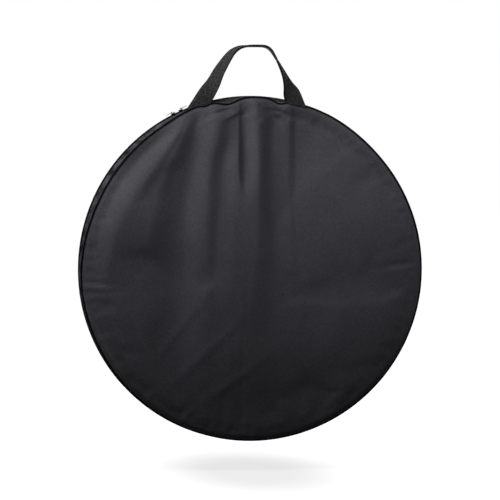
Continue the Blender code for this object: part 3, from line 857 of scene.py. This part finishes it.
outer_shares = np.concatenate((
    np.linspace(0, 0.12, 5), np.linspace(0.2, 0.8, 7), np.linspace(0.86, 1.0, 6)
))
inner_shares = np.linspace(1.0, 0.0, 7)
for name, side in (("front_zip_wall", -1), ("rear_zip_wall", 1)):
    relief = strip_thickness + wall_relief(side, zip_angles, outer_shares)
    outer = wall_points(side, zip_angles, outer_shares, relief)
    inner = wall_points(side, zip_angles, inner_shares, 0.0)
    strip = swept(name, np.concatenate((outer, inner), axis=1), strip_cloth_with_painted_light)
    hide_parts("front_wall_strip" if side < 0 else "rear_wall_strip")
    follow_panel(strip, side)


# Zip tapes. Each is a woven tape that is sewn under its wall strip and carries one row of the
# coil along its free edge
tape_thickness = 0.0008
tape_gap = 0.0003
tape_mid_gap = 0.0004
tape_top_radius = 0.3477
tape_hidden_share = 0.45
tape_overlap = 0.0008
tape_weave = woven_finish(
    "black_zip_tape", (0.006, 0.006, 0.007), (0.014, 0.014, 0.015), 0.0006, 0.00005, 0.70,
    use_uv=True, twill=0.5,
)
for name, side in (("front_tape", -1), ("rear_tape", 1)):
    share = np.linspace(1 - tape_hidden_share, 1.0, 5)
    hidden_top = wall_points(side, zip_angles, share, -tape_gap)
    hidden_back = wall_points(side, zip_angles, share[::-1], -tape_gap - tape_thickness)
    theta = zip_angles[:, None]
    depth = np.linspace(strip_edge_depth - tape_overlap, tape_mid_gap, 5)[None, :]
    hem = hem_radius(theta) - tape_gap
    free = hem + (tape_top_radius - hem) * (1 - depth / strip_edge_depth)
    free_top = about_disc(theta, free, depth, side)
    free_back = about_disc(theta, free[:, ::-1] - tape_thickness, depth[:, ::-1], side)
    rim = np.concatenate((hidden_top, free_top, free_back, hidden_back), axis=1)
    tape = swept(name, rim, tape_weave)
    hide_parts("front_zip_tape" if side < 0 else "rear_zip_tape")
    follow_panel(tape, side)


# Zip coils. A nylon thread is wound into a flattened spiral along each tape, and the loops of
# one side lie between those of the other
coil_radius_at = 0.3484
coil_depth_at = 0.0012
coil_half_width, coil_half_height = 0.0016, 0.0009
coil_wire = 0.00042
coil_pitch = 0.0016
coil_turns = int((pi + 2 * zip_overrun) * coil_radius_at / coil_pitch)
coil_steps, coil_sides = 8, 5
coil_nylon = woven_finish(
    "black_nylon", (0.005, 0.005, 0.005), (0.010, 0.010, 0.010), 0.0009, 0.0, 0.35
)


def tube_rings(path, radius, sides, upward, closed=False):
    """Rings round an open or closed path, square to it and with one side kept upward."""
    if closed:
        ahead = np.roll(path, -1, axis=0) - np.roll(path, 1, axis=0)
    else:
        ahead = np.gradient(path, axis=0)
    ahead /= np.linalg.norm(ahead, axis=1)[:, None]
    across = np.cross(ahead, upward)
    across /= np.linalg.norm(across, axis=1)[:, None]
    square = np.cross(across, ahead)
    turn = (np.arange(sides) * 2 * pi / sides)[None, :, None]
    return path[:, None] + radius * (across[:, None] * np.cos(turn) + square[:, None] * np.sin(turn))


for name, side, start in (("front_coil", -1, 0.0), ("rear_coil", 1, pi)):
    wind = np.arange(coil_turns * coil_steps + 1) / coil_steps * 2 * pi
    theta = -zip_overrun + (wind + start) / (2 * pi) * coil_pitch / coil_radius_at
    radius = coil_radius_at + coil_half_height * np.sin(wind)
    depth = coil_depth_at + coil_half_width * np.cos(wind)
    path = about_disc(theta, radius, depth, side)
    rings = tube_rings(path, coil_wire, coil_sides, path)
    coil = swept(name, rings, coil_nylon, sharp=radians(80))
    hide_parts("front_zip_coil" if side < 0 else "rear_zip_coil")
    follow_panel(coil, side)


# Lower wall. Below the zip's ends one plain strip of shell cloth joins the two panels, sewn
# under both pipings, and bows out a little between them
lower_inset = 0.0016
lower_bow = 0.0006
lower_end = zip_overrun + 0.001
lower_roll, lower_roll_width = 0.0006, 0.0014
crinkle_height, long_crinkles, short_crinkles = 0.0003, 41, 67
theta = np.linspace(pi + lower_end, 2 * pi - lower_end, 260)[:, None]
across = np.concatenate((
    np.linspace(-1, -0.8, 4), np.linspace(-0.6, 0.6, 7), np.linspace(0.8, 1, 4)
))[None, :]
front_half, rear_half = rim_depth(-1, theta) - lower_inset, rim_depth(1, theta) - lower_inset
bow = 1 - across ** 2
edge_roll = lower_roll * bell((1 - np.abs(across)) * front_half.mean(), lower_roll_width)
crinkle = np.sin(long_crinkles * theta) * np.sin(short_crinkles * theta + 1)
crinkle = crinkle_height * bow * crinkle
outer = about_disc(
    theta,
    strip_radius + strip_thickness + lower_bow * bow + edge_roll + crinkle,
    across * np.where(across > 0, front_half, rear_half),
    -1,
)
inner_across = np.linspace(1, -1, 6)[None, :]
inner_depth = inner_across * np.where(inner_across > 0, front_half, rear_half)
inner = about_disc(theta, strip_radius + 0 * inner_across, inner_depth, -1)
lower_wall = swept("lower_wall", np.concatenate((outer, inner), axis=1), strip_cloth_with_painted_light)
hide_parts("lower_wall_strip")
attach(lower_wall, "bag")


# End tabs. A short folded piece of shell cloth is sewn over each end of the zip, where the
# two strips meet the lower wall
tab_gap, tab_length = radians(0.3), radians(5.2)
tab_half_width, tab_thickness = 0.0062, 0.0014
tab_clearance = 0.0003
tab_stitch_depth, tab_stitch_share, tab_stitch_width_share = 0.0003, 0.2, 0.07
tab_end_power, tab_side_power, tab_thin_share = 30, 16, 0.04
tab_seat = strip_radius + strip_thickness + tab_clearance + lower_bow
tab_across = np.array((-1, -0.985, -0.93, -0.8, -0.4, 0, 0.4, 0.8, 0.93, 0.985, 1))
tab_along = np.concatenate(((0, 0.006, 0.02), np.linspace(0.1, 0.9, 9), (0.98, 0.994, 1)))
for name, way in (("left_end_tab", -1), ("right_end_tab", 1)):
    theta = -zip_overrun - tab_gap - tab_length * tab_along
    theta = (theta if way > 0 else pi - theta)[:, None]
    from_end = np.abs(2 * tab_along - 1)[:, None]
    from_side = np.abs(tab_across)[None, :]
    end_round = np.sqrt(np.clip(1 - from_end ** tab_end_power, tab_thin_share, 1))
    side_round = np.sqrt(np.clip(1 - from_side ** tab_side_power, tab_thin_share, 1))
    pillow = tab_thickness * (1 + end_round * side_round) / 2
    sewn = tab_stitch_depth * bell(1 - from_side - tab_stitch_share, tab_stitch_width_share)
    width = tab_half_width * tab_across[None, :]
    top = about_disc(theta, tab_seat + pillow - sewn, width, -1)
    bottom = about_disc(theta, tab_seat - tab_clearance + 0 * pillow, width[:, ::-1], -1)
    tab = swept(name, np.concatenate((top, bottom), axis=1), strip_cloth_with_painted_light)
    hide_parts("zip_end_tab_left" if way < 0 else "zip_end_tab_right")
    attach(tab, "bag")


# Handles. Each is one length of dark twill webbing, sewn at both ends into the seam between
# a panel and the wall. It stands flat against the panel there and turns on edge over the
# grip, where both are carried
webbing_width, webbing_thickness = 0.032, 0.0022
handle_depth = 0.014
handle_middle, handle_half_span = -0.00325, 0.0905
handle_fold_height, handle_rise = 0.346, 0.103
handle_stack = 0.0024
handle_parting = 1.7
handle_tail = 0.040
handle_root_sink = 0.0015
handle_stations, handle_ease = 260, 6
band_shares = np.array((-1, -0.97, -0.90, -0.5, 0, 0.5, 0.90, 0.97, 1))
band_edge_power, band_thin_share = 24, 0.10
selvedge_rise_share, selvedge_share, selvedge_width_share = 0.10, 0.93, 0.04
webbing = woven_finish(
    "dark_twill_webbing", (0.005, 0.005, 0.005), (0.032, 0.032, 0.032), 0.0013, 0.00012, 0.74,
    use_uv=True, twill=1.0, flecks=3.0, fleck_scale=300.0,
)
# Each row: place across in half spans, place up in rises, twist in quarter turns
handle_path_shares = np.array((
    (-1.00, 0.00, 0.00),
    (-0.90, 0.135, 0.22),
    (-0.79, 0.27, 0.39),
    (-0.665, 0.50, 0.56),
    (-0.49, 0.74, 0.72),
    (-0.365, 0.89, 0.82),
    (-0.20, 0.98, 0.93),
    (-0.01, 1.00, 1.00),
    (0.39, 1.00, 1.00),
    (0.505, 0.92, 0.97),
    (0.565, 0.82, 0.94),
    (0.64, 0.71, 0.90),
    (0.73, 0.56, 0.84),
    (0.82, 0.39, 0.74),
    (0.895, 0.22, 0.56),
    (0.95, 0.11, 0.22),
    (1.00, 0.00, 0.00),
))


def trimmed(points):
    """Shorten each lengthwise thread line so that both its ends lie on the bag's rim."""
    rows = np.arange(len(points))
    out = []
    for line in points.transpose(1, 0, 2):
        angle = np.arctan2(line[:, 2], line[:, 0])
        beyond = np.hypot(line[:, 0], line[:, 2]) - (seam_radius(angle) - handle_root_sink)
        outside = np.flatnonzero(beyond > 0)
        first, last = outside[0], outside[-1]
        start = first - beyond[first] / (beyond[first] - beyond[first - 1])
        stop = last + beyond[last] / (beyond[last] - beyond[last + 1])
        places = start + (stop - start) * rows / rows[-1]
        out.append(np.stack([np.interp(places, rows, column) for column in line.T], axis=-1))
    return np.stack(out, axis=1)


def webbing_points(side):
    """The strap's sections: a flat band with rounded edges, carried along the path.

    The band's width turns from the plane of the loop to square across it as it twists, and
    the front strap lies on the rear one at the grip.
    """
    across = handle_middle + handle_half_span * handle_path_shares[:, 0]
    up = handle_fold_height + handle_rise * handle_path_shares[:, 1]
    path = np.stack((across, up, handle_path_shares[:, 2] * pi / 2), axis=-1)
    first, last = path[0] - path[1], path[-1] - path[-2]
    for tail in (first, last):
        tail /= np.hypot(tail[0], tail[1])
        tail[2] = 0.0
    path = np.vstack((path[0] + handle_tail * first, path, path[-1] + handle_tail * last))
    steps = np.hypot(*np.diff(path[:, :2], axis=0).T)
    distance = np.concatenate(((0,), np.cumsum(steps)))
    fine = np.linspace(0, distance[-1], handle_stations)
    path = np.stack([np.interp(fine, distance, column) for column in path.T], axis=-1)
    path = eased(path, handle_ease)
    ahead = np.gradient(path[:, :2], axis=0)
    ahead /= np.hypot(*ahead.T)[:, None]
    zero = np.zeros(len(path))
    out = np.stack((-ahead[:, 1], zero, ahead[:, 0]), axis=-1)
    back = np.array((0.0, 1.0, 0.0))
    turned, level = np.sin(path[:, 2])[:, None], np.cos(path[:, 2])[:, None]
    stack = handle_stack if side < 0 else 0.0
    centre = np.stack((path[:, 0], zero, path[:, 1]), axis=-1)
    centre += side * handle_depth * level ** handle_parting * back + out * stack * turned
    wide = (out * level + back * turned)[:, None]
    thick = (out * turned - back * level)[:, None]
    from_middle = np.abs(band_shares)
    crown = np.sqrt(np.clip(1 - from_middle ** band_edge_power, band_thin_share, 1))
    crown += selvedge_rise_share * bell(from_middle - selvedge_share, selvedge_width_share)
    rim = np.stack((
        np.concatenate((band_shares, band_shares[::-1])) * webbing_width / 2,
        np.concatenate((crown, -crown[::-1])) * webbing_thickness / 2,
    ), axis=-1)[None, :, :, None]
    return trimmed(centre[:, None] + wide * rim[:, :, 0] + thick * rim[:, :, 1])


for name, side in (("front_carry_strap", -1), ("rear_carry_strap", 1)):
    strap = swept(name, webbing_points(side), webbing, sharp=radians(60))
    word = "front" if side < 0 else "rear"
    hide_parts(f"{word}_handle", f"{word}_handle_end_left", f"{word}_handle_end_right")
    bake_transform(strap)


# Sliders. Two small black enamelled sliders meet at the top left; each has a rounded plate
# over the coil, a flange down its rear side and a bridge that holds its pull
slider_angles = {"left": radians(116.6), "right": radians(113.8)}
slider_floor = outline_radius + 0.0006
slider_half_length, slider_half_width, slider_plate = 0.0055, 0.0045, 0.0015
plate_edge, plate_squareness = 0.0006, 3.0
flange_half_length, flange_half_width, flange_depth = 0.0038, 0.0006, 0.0039
flange_foot, flange_overlap = 0.3474, 0.0004
flange_edge, flange_squareness = 0.0003, 3.5
bridge_offset, bridge_half_length = 0.0012, 0.0019
bridge_rise, bridge_sink = 0.0029, 0.0004
bridge_wire, bridge_widening = 0.00045, 2.6
bridge_roundness = 0.6
wear_scale, wear_gain = 700.0, 0.2


def metal_finish(name, dark, light, roughness):
    """Enamelled metal: noise wears the tone and breaks up the gloss."""
    finish, tree, surface, mixing = new_finish(name, dark, light)
    place = tree.nodes.new("ShaderNodeTexCoord").outputs["Object"]
    wear = noise(tree, place, wear_scale, 3.0)
    tree.links.new(wear, mixing)
    gloss = node_value(tree, "MULTIPLY_ADD", wear, wear_gain, roughness - wear_gain / 2)
    tree.links.new(gloss, surface.inputs["Roughness"])
    surface.inputs["Metallic"].default_value = 1.0
    return finish


slider_metal = metal_finish("black_enamelled_metal", (0.03, 0.03, 0.03), (0.07, 0.07, 0.07), 0.42)
pull_metal = metal_finish("worn_pull_metal", (0.09, 0.09, 0.09), (0.20, 0.20, 0.20), 0.36)


def from_slider(angle, local):
    """Turn (along the zip, across it, out) at an angle of the disc into points about its centre."""
    along = np.array((sin(angle), 0.0, -cos(angle)))
    across = np.array((0.0, 1.0, 0.0))
    outward = np.array((cos(angle), 0.0, sin(angle)))
    return local[..., :1] * along + local[..., 1:2] * across + local[..., 2:] * outward


def rounded_square(count, power):
    """Points of a unit circle, squared by raising cosine and sine to a power below 1."""
    turn = np.arange(count) * 2 * pi / count
    circle = np.stack((np.cos(turn), np.sin(turn)))
    return np.sign(circle) * np.abs(circle) ** power


def pebble(half_length, half_width, low, high, edge, squareness, middle=(0.0, 0.0)):
    """A flat pebble: rounded-square rings, drawn in near both faces by a quarter circle."""
    unit_x, unit_y = rounded_square(40, 2 / squareness)
    lean = np.linspace(0, pi / 2, 5)
    inset = np.concatenate((edge * (1 - np.sin(lean)), edge * (1 - np.cos(lean))))
    height = np.concatenate((low + edge * (1 - np.cos(lean)), high - edge * (1 - np.sin(lean))))
    return np.stack((
        middle[0] + (half_length - inset)[:, None] * unit_x,
        middle[1] + (half_width - inset)[:, None] * unit_y,
        height[:, None] + 0 * unit_x,
    ), axis=-1)


def joined(name, pieces):
    """Make several closed meshes one object."""
    bpy.ops.object.select_all(action="DESELECT")
    for piece in pieces:
        piece.select_set(True)
    bpy.context.view_layer.objects.active = pieces[0]
    bpy.ops.object.join()
    pieces[0].name = name
    return pieces[0]


pull_length, pull_half_width, pull_wire_radius = 0.0135, 0.0038, 0.0006
pull_lift, pull_roundness = 0.00125, 0.55
zip_side, zip_out = np.array(((0.0, 1.0, 0.0), (0.0, 0.0, 1.0)))
bridge_sides, pull_corners, pull_sides = 10, 64, 10
for end, way in (("left", -1), ("right", 1)):
    angle = slider_angles[end]
    top = slider_floor + slider_plate
    plate = pebble(
        slider_half_length, slider_half_width, slider_floor, top, plate_edge, plate_squareness
    )
    flange = pebble(
        flange_half_length, flange_half_width, flange_foot, slider_floor + flange_overlap,
        flange_edge, flange_squareness, (0.0, flange_depth),
    )
    arch_turn = np.linspace(0, pi, 25)
    arch = np.stack((
        way * bridge_offset - bridge_half_length * np.cos(arch_turn),
        0 * arch_turn,
        top - bridge_sink + bridge_rise * np.sin(arch_turn) ** bridge_roundness,
    ), axis=-1)
    bridge = tube_rings(arch, bridge_wire, bridge_sides, zip_side)
    bridge[..., 1] *= bridge_widening
    parts = [
        swept(f"{end}_slider_{word}", from_slider(angle, shape), slider_metal)
        for word, shape in (("plate", plate), ("flange", flange), ("bridge", bridge))
    ]
    body = joined(f"{end}_zip_slider", parts)
    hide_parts(f"{end}_slider")
    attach(body, f"{end}_slider")

    # The pull is one ring of wire, bent to a rounded oblong
    half = (pull_length - 2 * pull_wire_radius) / 2
    reach = pull_half_width - pull_wire_radius
    ring_x, ring_y = rounded_square(pull_corners, pull_roundness)
    middle = way * (bridge_offset + half)
    ring = np.stack((middle + half * ring_x, reach * ring_y, top + pull_lift + 0 * ring_x), axis=-1)
    rings = tube_rings(ring, pull_wire_radius, pull_sides, zip_out, closed=True)
    wire = swept(f"{end}_wire_pull", from_slider(angle, rings), pull_metal, close_rows=True)
    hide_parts(f"{end}_pull")
    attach(wire, f"{end}_pull")
